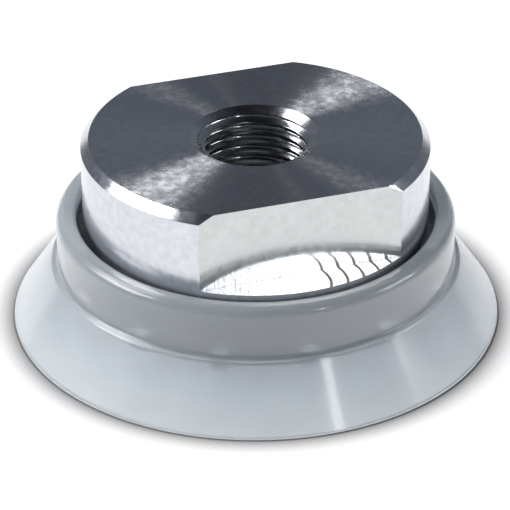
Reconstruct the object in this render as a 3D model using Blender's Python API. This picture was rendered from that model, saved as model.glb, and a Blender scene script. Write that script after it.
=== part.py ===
"""Vacuum suction cup with a threaded aluminium fitting, for Blender 4.5.

Metres, +Z up. The origin is the centre of the plane that the sealing lip rests on, and the cup's
axis is Z. The wrench flats face +Y and -Y. From below upwards the stack is: lip and skirt, clamp
plate with its countersunk screws, the cup's web, the filter, and the fitting with its thread.
"""

import math

import bmesh
import bpy
from mathutils import Matrix, Vector

MM = 0.001

# Clearances between pieces
CLEARANCE = 0.3 * MM
MOUTH_CLEARANCE = 0.75 * MM

# Silicone cup
LIP_RADIUS = 28.0 * MM
LIP_EDGE_HEIGHT = 0.35 * MM
LIP_EDGE_SETBACK = 0.25 * MM
LIP_CONTACT_WIDTH = 0.5 * MM
COLLAR_WALL = 2.3 * MM
COLLAR_OVERLAP = 5.05 * MM
COLLAR_SHOULDER_RADIUS = 1.35 * MM
MOUTH_RADIUS = 0.5 * MM
MOUTH_DEPTH = 1.2 * MM
MOUTH_TAPER = 0.6 * MM
SKIRT_STEP = 0.15 * MM
SKIRT_TOP_BELOW_WEB_TOP = 0.45 * MM
SKIRT_ROOT_WALL = 2.15 * MM
WEB_THICKNESS = 2.0 * MM
CLEAT_COUNT = 12
CLEAT_WIDTH = 2.0 * MM
CLEAT_LENGTH = 3.6 * MM
CLEAT_GAP = 0.8 * MM

# Clamp plate and its screws
PLATE_LIFT = 3.5 * MM
PLATE_THICKNESS = 2.0 * MM
PLATE_CHAMFER = 0.4 * MM
PLATE_MARGIN = 1.2 * MM
BOSS_WALL = 1.6 * MM
OUTLET_RADIUS = 3.6 * MM
SCREW_COUNT = 6
SCREW_CIRCLE_RADIUS = 11.4 * MM
SCREW_RADIUS = 1.5 * MM
SCREW_HEAD_RADIUS = 2.8 * MM
SCREW_LENGTH = 10.0 * MM
SCREW_TIP_CHAMFER = 0.4 * MM
SOCKET_ACROSS_FLATS = 2.0 * MM
SOCKET_DEPTH = 1.2 * MM
HOLE_TIP_LENGTH = 0.8 * MM

# Filter in the foot of the fitting
RING_THICKNESS = 0.8 * MM
RING_WIDTH = 1.3 * MM
RING_GAP = 1.6 * MM
SCREEN_THICKNESS = 0.5 * MM
SCREEN_HOLE_RADIUS = 0.5 * MM
SCREEN_HOLE_PITCH = 1.8 * MM
SCREEN_HOLE_RINGS = 2
PASSAGE_MARGIN = 0.9 * MM
SCREEN_SEAT_LAP = 1.2 * MM

# Aluminium fitting, with a G1/4 female thread
FITTING_RADIUS = 19.7 * MM
FITTING_HEIGHT = 14.3 * MM
FOOT_CHAMFER = 0.4 * MM
RIM_CHAMFER = 0.95 * MM
ACROSS_FLATS = 31.8 * MM
FLAT_HEIGHT = 9.15 * MM
THREAD_MAJOR_RADIUS = 6.5785 * MM
THREAD_MINOR_RADIUS = 5.7225 * MM
THREAD_PITCH = 1.337 * MM
THREAD_DEPTH = 10.0 * MM
THREAD_HALF_ANGLE = math.radians(27.5)
THREAD_ROOT_WIDTH = 0.2 * MM
THREAD_CUTTER_LAP = 0.15 * MM
THREAD_START_ANGLE = math.radians(66.3)
COUNTERSINK_MARGIN = 0.75 * MM
COUNTERSINK_HALF_ANGLE = math.radians(60.0)
BORE_RELIEF = 1.0 * MM
DRILL_HALF_ANGLE = math.radians(59.0)

# Cutters reach this far past what they cut, and points closer than this are one point
CUTTER_OVERSHOOT = 1.0 * MM
MERGE_DISTANCE = 0.0001 * MM

# Facets, and the angle past which an edge is shaded sharp
SHARP_EDGE = math.radians(30.0)
LARGE_SEGMENTS = 72
BORE_SEGMENTS_PER_TURN = 24
SMALL_SEGMENTS = 16
SCREEN_HOLE_SEGMENTS = 8
ARC_STEPS = 4

# Heights of the stack, from the lip's plane upwards
PLATE_TOP = PLATE_LIFT + PLATE_THICKNESS
WEB_BOTTOM = PLATE_TOP + CLEARANCE
WEB_TOP = WEB_BOTTOM + WEB_THICKNESS
FITTING_FOOT = WEB_TOP + CLEARANCE
FITTING_TOP = FITTING_FOOT + FITTING_HEIGHT
LEDGE = FITTING_TOP - FLAT_HEIGHT
RING_TOP = FITTING_FOOT + RING_THICKNESS
SCREEN_BOTTOM = RING_TOP + CLEARANCE
SCREEN_TOP = SCREEN_BOTTOM + SCREEN_THICKNESS
FILTER_SEAT = SCREEN_TOP + CLEARANCE
BORE_BOTTOM = FITTING_TOP - THREAD_DEPTH - BORE_RELIEF

# Radii that follow from the pieces that fit each other
BOSS_RADIUS = OUTLET_RADIUS + BOSS_WALL
WEB_HOLE_RADIUS = BOSS_RADIUS + CLEARANCE
PASSAGE_RADIUS = OUTLET_RADIUS + PASSAGE_MARGIN
FILTER_RADIUS = PASSAGE_RADIUS + SCREEN_SEAT_LAP
FILTER_BORE_RADIUS = FILTER_RADIUS + CLEARANCE
PLATE_RADIUS = SCREW_CIRCLE_RADIUS + SCREW_HEAD_RADIUS + PLATE_MARGIN
POCKET_RADIUS = FITTING_RADIUS + CLEARANCE
MOUTH_INNER_RADIUS = FITTING_RADIUS + MOUTH_CLEARANCE
COLLAR_RADIUS = MOUTH_INNER_RADIUS + COLLAR_WALL
COLLAR_TOP = FITTING_FOOT + COLLAR_OVERLAP
SKIRT_TOP = WEB_TOP - SKIRT_TOP_BELOW_WEB_TOP
COUNTERSINK_RADIUS = THREAD_MAJOR_RADIUS + COUNTERSINK_MARGIN

# Each material's colour, roughness and metallic value
FINISHES = {
    "silicone": ((0.74, 0.78, 0.81), 0.35, 0.0),
    "turned_aluminium": ((0.78, 0.79, 0.82), 0.28, 1.0),
    "plate_aluminium": ((0.70, 0.71, 0.73), 0.40, 1.0),
    "screw_steel": ((0.52, 0.52, 0.54), 0.30, 1.0),
    "filter_steel": ((0.60, 0.60, 0.60), 0.35, 1.0),
}


def clear_scene():
    """Remove every object that the scene starts with."""
    for obj in list(bpy.data.objects):
        bpy.data.objects.remove(obj, do_unlink=True)


def make_material(name):
    """A Principled material with one of the finishes."""
    colour, roughness, metallic = FINISHES[name]
    material = bpy.data.materials.new(name)
    material.use_nodes = True
    shader = material.node_tree.nodes["Principled BSDF"]
    shader.inputs["Base Color"].default_value = (*colour, 1.0)
    shader.inputs["Roughness"].default_value = roughness
    shader.inputs["Metallic"].default_value = metallic
    return material


def add_empty(name):
    """An empty on the cup's axis, which holds the pieces of one body."""
    empty = bpy.data.objects.new(name, None)
    bpy.context.collection.objects.link(empty)
    return empty


def add_object(name, bm, material=None, parent=None):
    """Turn a bmesh into an object. Its faces are made to point out."""
    bmesh.ops.recalc_face_normals(bm, faces=bm.faces)
    mesh = bpy.data.meshes.new(name)
    bm.to_mesh(mesh)
    bm.free()
    mesh.shade_smooth()
    mesh.set_sharp_from_angle(angle=SHARP_EDGE)
    if material:
        mesh.materials.append(material)
    obj = bpy.data.objects.new(name, mesh)
    obj.parent = parent
    bpy.context.collection.objects.link(obj)
    return obj


def turned(profile, segments):
    """A bmesh turned about Z from (radius, height) points. The outline closes by itself, and one
    that starts and ends on the axis gives a solid piece."""
    bm = bmesh.new()
    verts = [bm.verts.new((radius, 0.0, height)) for radius, height in profile]
    on_axis = profile[0][0] == 0.0 and profile[-1][0] == 0.0
    edges = [bm.edges.new(pair) for pair in zip(verts, verts[1:])]
    if not on_axis:
        edges.append(bm.edges.new((verts[-1], verts[0])))
    bmesh.ops.spin(
        bm,
        geom=verts + edges,
        cent=(0.0, 0.0, 0.0),
        axis=(0.0, 0.0, 1.0),
        angle=math.tau,
        steps=segments,
        use_merge=True,
    )
    bmesh.ops.remove_doubles(bm, verts=bm.verts, dist=MERGE_DISTANCE)
    return bm


def arc(centre, radius, start, end):
    """Points of an arc in the (radius, height) plane, from one angle in degrees to another."""
    angles = [math.radians(start + (end - start) * i / ARC_STEPS) for i in range(ARC_STEPS + 1)]
    return [
        (centre[0] + radius * math.cos(angle), centre[1] + radius * math.sin(angle))
        for angle in angles
    ]


def place_on_circle(bm, radius, count):
    """Copy what a bmesh holds to evenly spaced places on a circle about Z, and drop the original."""
    original = bm.verts[:] + bm.edges[:] + bm.faces[:]
    for index in range(count):
        copy = bmesh.ops.duplicate(bm, geom=original)["geom"]
        move = Matrix.Rotation(math.tau * index / count, 4, "Z") @ Matrix.Translation(
            (radius, 0.0, 0.0)
        )
        moved = [item for item in copy if isinstance(item, bmesh.types.BMVert)]
        bmesh.ops.transform(bm, matrix=move, verts=moved)
    bmesh.ops.delete(bm, geom=original, context="VERTS")
    return bm


def combine(target, helper, operation):
    """Cut a helper solid from a piece or join it on, and keep the helper out of the render."""
    helper.hide_render = True
    helper.display_type = "WIRE"
    modifier = target.modifiers.new(helper.name, "BOOLEAN")
    modifier.object = helper
    modifier.operation = operation
    modifier.solver = "EXACT"


def cup_profile():
    """Outline of the silicone moulding: lip, skirt, collar with a rounded rim, pocket and web."""
    skirt_slope = (LIP_RADIUS - COLLAR_RADIUS) / SKIRT_TOP
    root_inner_radius = COLLAR_RADIUS + (SKIRT_TOP - WEB_BOTTOM) * skirt_slope - SKIRT_ROOT_WALL
    contact_outer = LIP_RADIUS - LIP_EDGE_SETBACK
    shoulder_centre = (
        COLLAR_RADIUS - COLLAR_SHOULDER_RADIUS,
        COLLAR_TOP - COLLAR_SHOULDER_RADIUS,
    )
    mouth_centre = (MOUTH_INNER_RADIUS + MOUTH_RADIUS, COLLAR_TOP - MOUTH_RADIUS)
    return [
        (contact_outer - LIP_CONTACT_WIDTH, 0.0),
        (contact_outer, 0.0),
        (LIP_RADIUS, LIP_EDGE_HEIGHT),
        (COLLAR_RADIUS + SKIRT_STEP, SKIRT_TOP),
        (COLLAR_RADIUS, SKIRT_TOP + SKIRT_STEP),
        *arc(shoulder_centre, COLLAR_SHOULDER_RADIUS, 0.0, 90.0),
        *arc(mouth_centre, MOUTH_RADIUS, 90.0, 180.0),
        (MOUTH_INNER_RADIUS, COLLAR_TOP - MOUTH_DEPTH),
        (POCKET_RADIUS, COLLAR_TOP - MOUTH_DEPTH - MOUTH_TAPER),
        (POCKET_RADIUS, WEB_TOP),
        (WEB_HOLE_RADIUS, WEB_TOP),
        (WEB_HOLE_RADIUS, WEB_BOTTOM),
        (root_inner_radius, WEB_BOTTOM),
    ]


def cleat_blocks():
    """Radial pads under the web, outside the clamp plate, which carry the load at full stroke."""
    bury = 0.5 * WEB_THICKNESS
    height = WEB_BOTTOM + bury - PLATE_LIFT
    bm = bmesh.new()
    place = Matrix.Translation((0.0, 0.0, PLATE_LIFT + 0.5 * height))
    size = Matrix.Diagonal((CLEAT_LENGTH, CLEAT_WIDTH, height, 1.0))
    bmesh.ops.create_cube(bm, size=1.0, matrix=place @ size)
    middle = PLATE_RADIUS + CLEAT_GAP + 0.5 * CLEAT_LENGTH
    return place_on_circle(bm, middle, CLEAT_COUNT)


def screw_holes(bottom, top, tip_length=0.0):
    """Plain holes for the clamp screws, between two heights, with a drilled tip if asked."""
    radius = SCREW_RADIUS + CLEARANCE
    profile = [(0.0, bottom), (radius, bottom), (radius, top), (0.0, top + tip_length)]
    return place_on_circle(turned(profile, SMALL_SEGMENTS), SCREW_CIRCLE_RADIUS, SCREW_COUNT)


def build_cup(material, parent):
    """The silicone cup, one moulding with its cleats and its screw holes."""
    cup = add_object("suction_cup", turned(cup_profile(), LARGE_SEGMENTS), material, parent)
    combine(cup, add_object("cleats", cleat_blocks()), "UNION")
    through = screw_holes(WEB_BOTTOM - CUTTER_OVERSHOOT, WEB_TOP + CUTTER_OVERSHOOT)
    combine(cup, add_object("web_holes", through), "DIFFERENCE")


def build_plate(material, parent):
    """The clamp plate: a disc with a central boss that sets how far the web is squeezed."""
    profile = [
        (OUTLET_RADIUS, PLATE_LIFT),
        (PLATE_RADIUS - PLATE_CHAMFER, PLATE_LIFT),
        (PLATE_RADIUS, PLATE_LIFT + PLATE_CHAMFER),
        (PLATE_RADIUS, PLATE_TOP),
        (BOSS_RADIUS, PLATE_TOP),
        (BOSS_RADIUS, WEB_TOP),
        (OUTLET_RADIUS, WEB_TOP),
    ]
    plate = add_object("clamp_plate", turned(profile, LARGE_SEGMENTS), material, parent)
    head_radius = SCREW_HEAD_RADIUS + CLEARANCE
    shank_radius = SCREW_RADIUS + CLEARANCE
    cone_height = SCREW_HEAD_RADIUS - SCREW_RADIUS
    hole = [
        (0.0, PLATE_LIFT - CUTTER_OVERSHOOT),
        (head_radius, PLATE_LIFT - CUTTER_OVERSHOOT),
        (head_radius, PLATE_LIFT),
        (shank_radius, PLATE_LIFT + cone_height),
        (shank_radius, PLATE_TOP + CUTTER_OVERSHOOT),
        (0.0, PLATE_TOP + CUTTER_OVERSHOOT),
    ]
    holes = place_on_circle(turned(hole, SMALL_SEGMENTS), SCREW_CIRCLE_RADIUS, SCREW_COUNT)
    combine(plate, add_object("plate_holes", holes), "DIFFERENCE")


def build_screws(material, parent):
    """One countersunk screw for each hole. Each is its own object, and all share one mesh."""
    socket_radius = 0.5 * SOCKET_ACROSS_FLATS / math.cos(math.pi / 6.0)
    bm = bmesh.new()
    outer = bmesh.ops.create_circle(bm, radius=SCREW_HEAD_RADIUS, segments=SMALL_SEGMENTS)["verts"]
    socket = bmesh.ops.create_circle(bm, radius=socket_radius, segments=6)["verts"]
    socket_edges = [edge for edge in bm.edges if edge.verts[0] in socket]
    outer_edges = [edge for edge in bm.edges if edge.verts[0] in outer]
    bmesh.ops.triangle_fill(bm, edges=outer_edges + socket_edges, use_beauty=True)
    floor = extrude_loop(bm, socket_edges, 1.0, SOCKET_DEPTH)
    bmesh.ops.contextual_create(bm, geom=floor)
    shank = extrude_loop(
        bm, outer_edges, SCREW_RADIUS / SCREW_HEAD_RADIUS, SCREW_HEAD_RADIUS - SCREW_RADIUS
    )
    end = extrude_loop(bm, shank, 1.0, SCREW_LENGTH - SCREW_TIP_CHAMFER)
    tip = extrude_loop(bm, end, 1.0 - SCREW_TIP_CHAMFER / SCREW_RADIUS, SCREW_LENGTH)
    bmesh.ops.contextual_create(bm, geom=tip)
    first = add_object("clamp_screw_1", bm, material, parent)
    for index in range(SCREW_COUNT):
        screw = first
        if index:
            screw = bpy.data.objects.new(f"clamp_screw_{index + 1}", first.data)
            screw.parent = parent
            bpy.context.collection.objects.link(screw)
        angle = math.tau * index / SCREW_COUNT
        across = Vector((math.cos(angle), math.sin(angle), 0.0)) * SCREW_CIRCLE_RADIUS
        screw.location = across + Vector((0.0, 0.0, PLATE_LIFT))
        screw.rotation_euler = (0.0, 0.0, angle)


def extrude_loop(bm, edges, scale, height):
    """Extrude a closed loop about the axis to a new height, scaling it, and return its edges."""
    made = bmesh.ops.extrude_edge_only(bm, edges=edges)["geom"]
    verts = [item for item in made if isinstance(item, bmesh.types.BMVert)]
    for vert in verts:
        vert.co.x *= scale
        vert.co.y *= scale
        vert.co.z = height
    return [
        item
        for item in made
        if isinstance(item, bmesh.types.BMEdge) and all(vert in verts for vert in item.verts)
    ]


def build_filter(material, parent):
    """The strainer disc in the foot of the fitting, and the split ring that holds it."""
    disc = [
        (0.0, SCREEN_BOTTOM),
        (FILTER_RADIUS, SCREEN_BOTTOM),
        (FILTER_RADIUS, SCREEN_TOP),
        (0.0, SCREEN_TOP),
    ]
    screen = add_object("filter_screen", turned(disc, 2 * SMALL_SEGMENTS), material, parent)
    bm = bmesh.new()
    middle = 0.5 * (SCREEN_BOTTOM + SCREEN_TOP)
    for ring in range(SCREEN_HOLE_RINGS + 1):
        for step in range(max(1, 6 * ring)):
            turn = math.tau * step / max(1, 6 * ring)
            centre = Vector((math.cos(turn), math.sin(turn), 0.0)) * ring * SCREEN_HOLE_PITCH
            centre.z = middle
            bmesh.ops.create_cone(
                bm,
                cap_ends=True,
                segments=SCREEN_HOLE_SEGMENTS,
                radius1=SCREEN_HOLE_RADIUS,
                radius2=SCREEN_HOLE_RADIUS,
                depth=SCREEN_THICKNESS + 2.0 * CUTTER_OVERSHOOT,
                matrix=Matrix.Translation(centre),
            )
    combine(screen, add_object("screen_holes", bm), "DIFFERENCE")

    split = 2.0 * math.asin(0.5 * RING_GAP / FILTER_RADIUS)
    inner = FILTER_RADIUS - RING_WIDTH
    corners = [(inner, FITTING_FOOT), (FILTER_RADIUS, FITTING_FOOT), (FILTER_RADIUS, RING_TOP),
               (inner, RING_TOP)]
    bm = bmesh.new()
    section = bm.faces.new([bm.verts.new((radius, 0.0, height)) for radius, height in corners])
    bmesh.ops.rotate(bm, verts=bm.verts, matrix=Matrix.Rotation(0.5 * split, 3, "Z"))
    bmesh.ops.spin(
        bm,
        geom=[section],
        cent=(0.0, 0.0, 0.0),
        axis=(0.0, 0.0, 1.0),
        angle=math.tau - split,
        steps=2 * SMALL_SEGMENTS,
    )
    add_object("filter_ring", bm, material, parent)


def fitting_profile():
    """Outline of the turned fitting: rim, countersink, bore, passage and filter seat."""
    countersink_width = COUNTERSINK_RADIUS - THREAD_MINOR_RADIUS
    countersink_depth = countersink_width / math.tan(COUNTERSINK_HALF_ANGLE)
    drill_depth = (THREAD_MINOR_RADIUS - PASSAGE_RADIUS) / math.tan(DRILL_HALF_ANGLE)
    return [
        (FITTING_RADIUS - FOOT_CHAMFER, FITTING_FOOT),
        (FITTING_RADIUS, FITTING_FOOT + FOOT_CHAMFER),
        (FITTING_RADIUS, FITTING_TOP - RIM_CHAMFER),
        (FITTING_RADIUS - RIM_CHAMFER, FITTING_TOP),
        (COUNTERSINK_RADIUS, FITTING_TOP),
        (THREAD_MINOR_RADIUS, FITTING_TOP - countersink_depth),
        (THREAD_MINOR_RADIUS, BORE_BOTTOM + drill_depth),
        (PASSAGE_RADIUS, BORE_BOTTOM),
        (PASSAGE_RADIUS, FILTER_SEAT),
        (FILTER_BORE_RADIUS, FILTER_SEAT),
        (FILTER_BORE_RADIUS, FITTING_FOOT),
    ]


def thread_groove():
    """The helical groove of a right-hand female thread: one section swept up the bore. It starts
    a little off X, so that its facets and those of the bore don't share an edge."""
    inner_radius = THREAD_MINOR_RADIUS - THREAD_CUTTER_LAP
    depth = THREAD_MAJOR_RADIUS - inner_radius
    inner_half = 0.5 * THREAD_ROOT_WIDTH + depth * math.tan(THREAD_HALF_ANGLE)
    outer_half = 0.5 * THREAD_ROOT_WIDTH
    bottom = FITTING_TOP - THREAD_DEPTH
    corners = [
        (inner_radius, bottom - inner_half),
        (THREAD_MAJOR_RADIUS, bottom - outer_half),
        (THREAD_MAJOR_RADIUS, bottom + outer_half),
        (inner_radius, bottom + inner_half),
    ]
    turns = THREAD_DEPTH / THREAD_PITCH
    steps = math.ceil(turns * BORE_SEGMENTS_PER_TURN)
    bm = bmesh.new()
    section = bm.faces.new([bm.verts.new((radius, 0.0, height)) for radius, height in corners])
    start = Matrix.Rotation(THREAD_START_ANGLE, 3, "Z")
    bmesh.ops.rotate(bm, verts=bm.verts, matrix=start)
    bmesh.ops.spin(
        bm,
        geom=[section],
        cent=(0.0, 0.0, 0.0),
        axis=(0.0, 0.0, 1.0),
        dvec=(0.0, 0.0, THREAD_PITCH / BORE_SEGMENTS_PER_TURN),
        angle=math.tau * steps / BORE_SEGMENTS_PER_TURN,
        steps=steps,
    )
    return bm


def flat_blocks():
    """Two blocks that mill the wrench flats down to the ledge."""
    bm = bmesh.new()
    reach = 2.0 * FITTING_RADIUS
    block = Matrix.Diagonal((2.0 * reach, reach, 2.0 * FLAT_HEIGHT, 1.0))
    for side in (-1.0, 1.0):
        centre = (0.0, side * 0.5 * (ACROSS_FLATS + reach), LEDGE + FLAT_HEIGHT)
        bmesh.ops.create_cube(bm, size=1.0, matrix=Matrix.Translation(centre) @ block)
    return bm


def build_fitting(material, parent):
    """The aluminium fitting: turned, milled, threaded, and tapped from below."""
    fitting = add_object(
        "fitting_body", turned(fitting_profile(), LARGE_SEGMENTS), material, parent
    )
    combine(fitting, add_object("thread_groove", thread_groove()), "DIFFERENCE")
    combine(fitting, add_object("flat_blocks", flat_blocks()), "DIFFERENCE")
    hole_end = PLATE_LIFT + SCREW_LENGTH + CLEARANCE
    holes = screw_holes(FITTING_FOOT - CUTTER_OVERSHOOT, hole_end, HOLE_TIP_LENGTH)
    combine(fitting, add_object("tapped_holes", holes), "DIFFERENCE")


def main():
    """Build every piece under the two bodies' empties."""
    clear_scene()
    cup_body = add_empty("cup")
    fitting_body = add_empty("fitting")
    build_cup(make_material("silicone"), cup_body)
    build_fitting(make_material("turned_aluminium"), fitting_body)
    build_plate(make_material("plate_aluminium"), fitting_body)
    build_screws(make_material("screw_steel"), fitting_body)
    build_filter(make_material("filter_steel"), fitting_body)


main()
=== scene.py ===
import math

import bmesh
import bpy
from bpy.props import (
    FloatProperty,
    FloatVectorProperty,
    IntProperty,
    PointerProperty,
)
from mathutils import Matrix, Vector


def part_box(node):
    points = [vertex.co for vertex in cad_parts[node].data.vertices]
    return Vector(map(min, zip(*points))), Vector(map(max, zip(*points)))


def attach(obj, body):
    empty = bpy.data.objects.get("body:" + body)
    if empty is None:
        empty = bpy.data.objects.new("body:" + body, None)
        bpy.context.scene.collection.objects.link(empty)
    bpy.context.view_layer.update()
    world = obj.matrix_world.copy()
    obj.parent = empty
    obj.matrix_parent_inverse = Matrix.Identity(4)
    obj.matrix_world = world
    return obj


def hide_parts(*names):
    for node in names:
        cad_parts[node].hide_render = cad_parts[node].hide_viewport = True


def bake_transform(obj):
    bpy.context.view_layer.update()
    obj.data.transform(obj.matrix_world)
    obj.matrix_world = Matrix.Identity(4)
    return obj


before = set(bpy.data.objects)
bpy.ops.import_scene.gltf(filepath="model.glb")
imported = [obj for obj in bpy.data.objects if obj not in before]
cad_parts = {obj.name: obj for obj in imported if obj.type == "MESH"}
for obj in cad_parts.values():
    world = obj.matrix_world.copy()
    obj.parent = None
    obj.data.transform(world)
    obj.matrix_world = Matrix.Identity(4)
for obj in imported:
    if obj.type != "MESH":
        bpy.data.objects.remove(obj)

bl_info = {
    "name": "Vacuum Suction Cup",
    "version": (1, 0, 0),
    "blender": (4, 5, 0),
    "location": "3D View > Sidebar > Suction Cup",
    "description": "Builds a silicone suction cup with its aluminium fitting, clamp and filter",
    "category": "Add Mesh",
}

MM = 0.001
COUNTERSINK_HALF_ANGLE = math.radians(60.0)
DRILL_HALF_ANGLE = math.radians(59.0)
THREAD_FLANK_ANGLE = math.radians(40.0)
THREAD_START_ANGLE = math.radians(140.0)
AXIS = (0.0, 0.0, 1.0)
CENTRE = (0.0, 0.0, 0.0)
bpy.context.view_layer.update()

CUP_LOW, CUP_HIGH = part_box("suction_cup")
FITTING_LOW, FITTING_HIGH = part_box("fitting_body")
PLATE_LOW, PLATE_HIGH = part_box("clamp_plate")
SCREW_LOW, SCREW_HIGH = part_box("clamp_screw_1")
SCREEN_LOW, SCREEN_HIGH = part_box("filter_screen")
RING_LOW, RING_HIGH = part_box("filter_ring")
SCREW_NODES = sorted(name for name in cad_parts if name.startswith("clamp_screw"))

# Name, azimuth from the camera, elevation, width and height in degrees, and brightness
SOFTBOXES = (
    ("left_softbox", -90.0, 40.0, 31.0, 22.0, 10.5),
    ("rear_softbox", -126.0, 54.0, 22.0, 18.0, 5.0),
    ("right_softbox", 88.0, 30.0, 22.0, 18.0, 6.0),
    ("front_lamp", 38.0, 34.0, 4.0, 14.0, 11.0),
)


# ---------------------------------------------------------------- sizes and colours


def length(name, description, default):
    """A property that holds a length in metres."""
    return FloatProperty(
        name=name, description=description, default=default, min=0.0, precision=5, unit="LENGTH"
    )


def colour(name, description, default):
    """A property that holds a linear colour."""
    return FloatVectorProperty(
        name=name, description=description, default=default, size=3, min=0.0, max=1.0,
        subtype="COLOR",
    )


class CupSizes(bpy.types.PropertyGroup):
    """Sizes of the silicone moulding."""

    lip_radius: length("Lip radius", "Outer radius of the sealing lip", CUP_HIGH.x)
    lip_edge: length("Lip edge", "Thickness of the lip at its rim", 0.3 * MM)
    contact_width: length("Contact ring", "Width of the ring that seals", 0.6 * MM)
    collar_top: length("Collar top", "Height of the collar's rim", CUP_HIGH.z)
    collar_wall: length("Collar wall", "Thickness of the collar", 2.3 * MM)
    collar_shoulder: length("Collar shoulder", "Rounding of the outer shoulder", 1.35 * MM)
    mouth_gap: length("Mouth gap", "Gap between the collar's mouth and the fitting", 0.75 * MM)
    mouth_depth: length("Mouth depth", "Depth of the widened mouth", 1.4 * MM)
    pocket_gap: length("Pocket gap", "Gap between the pocket and the fitting", 0.3 * MM)
    step_width: length("Step width", "Small step between collar and skirt", 0.70 * MM)
    skirt_top: length("Skirt top", "Height where the skirt starts", 7.33 * MM)
    root_wall: length("Root wall", "Thickness of the skirt at its root", 2.15 * MM)
    web_thickness: length("Web", "Thickness of the clamped web", 2.0 * MM)
    cleat_count: IntProperty(
        name="Cleats", description="Radial pads under the web", default=12, min=3, max=36
    )
    cleat_width: length("Cleat width", "Width of each pad", 2.0 * MM)
    cleat_length: length("Cleat length", "Radial length of each pad", 3.6 * MM)
    cleat_gap: length("Cleat gap", "Gap between the pads and the plate", 0.8 * MM)


class FittingSizes(bpy.types.PropertyGroup):
    """Sizes of the turned aluminium fitting and its thread."""

    radius: length("Radius", "Radius of the turned disc", FITTING_HIGH.x)
    foot: length("Foot", "Height of the lower face", FITTING_LOW.z)
    top: length("Top", "Height of the top face", FITTING_HIGH.z)
    rim_chamfer: length("Rim chamfer", "Chamfer round the top", 0.95 * MM)
    foot_chamfer: length("Foot chamfer", "Chamfer round the lower face", 0.4 * MM)
    across_flats: length("Across flats", "Distance between the wrench flats", 31.8 * MM)
    flat_height: length("Flat height", "Depth of the milled flats", 9.15 * MM)
    edge_break: length("Edge break", "Deburring of the sharp edges", 0.12 * MM)
    countersink: length("Countersink", "Radius of the bore's countersink", 7.33 * MM)
    thread_major: length("Thread major", "Root radius of the female thread", 6.5785 * MM)
    thread_minor: length("Thread minor", "Crest radius of the female thread", 5.7225 * MM)
    thread_pitch: length("Thread pitch", "Pitch of the thread", 1.337 * MM)
    thread_depth: length("Thread depth", "Depth of the thread", 10.0 * MM)
    bore_depth: length("Bore depth", "Depth of the tapped bore", 11.0 * MM)
    passage: length("Passage", "Radius of the vacuum passage", 4.5 * MM)
    tapped_hole: length("Tapped hole", "Radius of the screw holes", 1.75 * MM)
    drill_tip: length("Drill tip", "Height of the holes' conical end", 0.8 * MM)


class ClampSizes(bpy.types.PropertyGroup):
    """Sizes of the clamp plate, its screws and the filter."""

    outlet: length("Outlet", "Radius of the hole in the plate", 3.6 * MM)
    boss_wall: length("Boss wall", "Wall of the plate's central boss", 1.6 * MM)
    plate_thickness: length("Plate", "Thickness of the plate", 2.0 * MM)
    plate_chamfer: length("Plate chamfer", "Chamfer of the plate's rim", 0.4 * MM)
    screw_radius: length("Screw radius", "Radius of the screw's shank", 1.5 * MM)
    screw_gap: length("Screw gap", "Gap round the screws", 0.2 * MM)
    screw_pitch: length("Screw pitch", "Pitch of the screws' thread", 0.5 * MM)
    socket_flats: length("Socket", "Hexagon socket across flats", 2.0 * MM)
    socket_depth: length("Socket depth", "Depth of the hexagon socket", 1.2 * MM)
    ring_width: length("Ring width", "Radial width of the retaining ring", 1.3 * MM)
    ring_gap: length("Ring gap", "Gap in the split ring", 1.6 * MM)
    wire_radius: length("Wire radius", "Radius of the strainer's wires", 0.085 * MM)
    wire_pitch: length("Wire pitch", "Distance between the wires", 0.5 * MM)
    rim_width: length("Rim width", "Width of the strainer's crimped rim", 1.0 * MM)


class Finishes(bpy.types.PropertyGroup):
    """Colours of the metals and the silicone."""

    aluminium: colour("Aluminium", "Turned and milled fitting", (0.66, 0.67, 0.71))
    milled: colour("Milled aluminium", "Wrench flats", (0.60, 0.615, 0.61))
    tapped: colour("Tapped aluminium", "Thread and bore", (0.50, 0.51, 0.53))
    plate: colour("Plate aluminium", "Clamp plate", (0.60, 0.61, 0.63))
    steel: colour("Stainless steel", "Screws, strainer and ring", (0.50, 0.50, 0.52))
    silicone: colour("Silicone", "Translucent moulding", (0.60, 0.64, 0.67))
    floor: colour("Floor", "Plain studio floor", (0.22, 0.22, 0.22))
    floor_glow: colour("Floor glow", "Light from below the floor", (0.83, 0.83, 0.84))
    room_low: colour("Room walls", "Low part of the dim room", (0.14, 0.155, 0.18))
    room_high: colour("Room ceiling", "High part of the dim room", (0.012, 0.012, 0.016))
    backdrop: colour("Backdrop", "What the camera sees past the floor", (1.0, 1.0, 1.0))


class StageSizes(bpy.types.PropertyGroup):
    """The camera's place and the floor."""

    azimuth: FloatProperty(
        name="Azimuth", description="Camera's turn about the cup", default=math.radians(-18.16),
        subtype="ANGLE",
    )
    elevation: FloatProperty(
        name="Elevation", description="Camera's height angle", default=math.radians(31.6),
        subtype="ANGLE",
    )
    roll: FloatProperty(
        name="Roll", description="Camera's tilt", default=math.radians(-0.22), subtype="ANGLE"
    )
    distance: length("Distance", "From the aim point's axis to the camera", 323.8 * MM)
    aim_height: length("Aim height", "Height that the camera looks at", 6.72 * MM)
    aim_left: length("Aim left", "How far left of the axis the camera looks", 0.09 * MM)
    lens: FloatProperty(
        name="Lens", description="Focal length in millimetres", default=196.4, min=1.0
    )
    floor_size: length("Floor size", "Side of the floor", 3.0)
    light_distance: length("Light distance", "From the cup to each softbox", 0.8)
    shade_reach: length("Shade reach", "How near the cup darkens the floor", 4.0 * MM)


# ---------------------------------------------------------------- shaping


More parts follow.
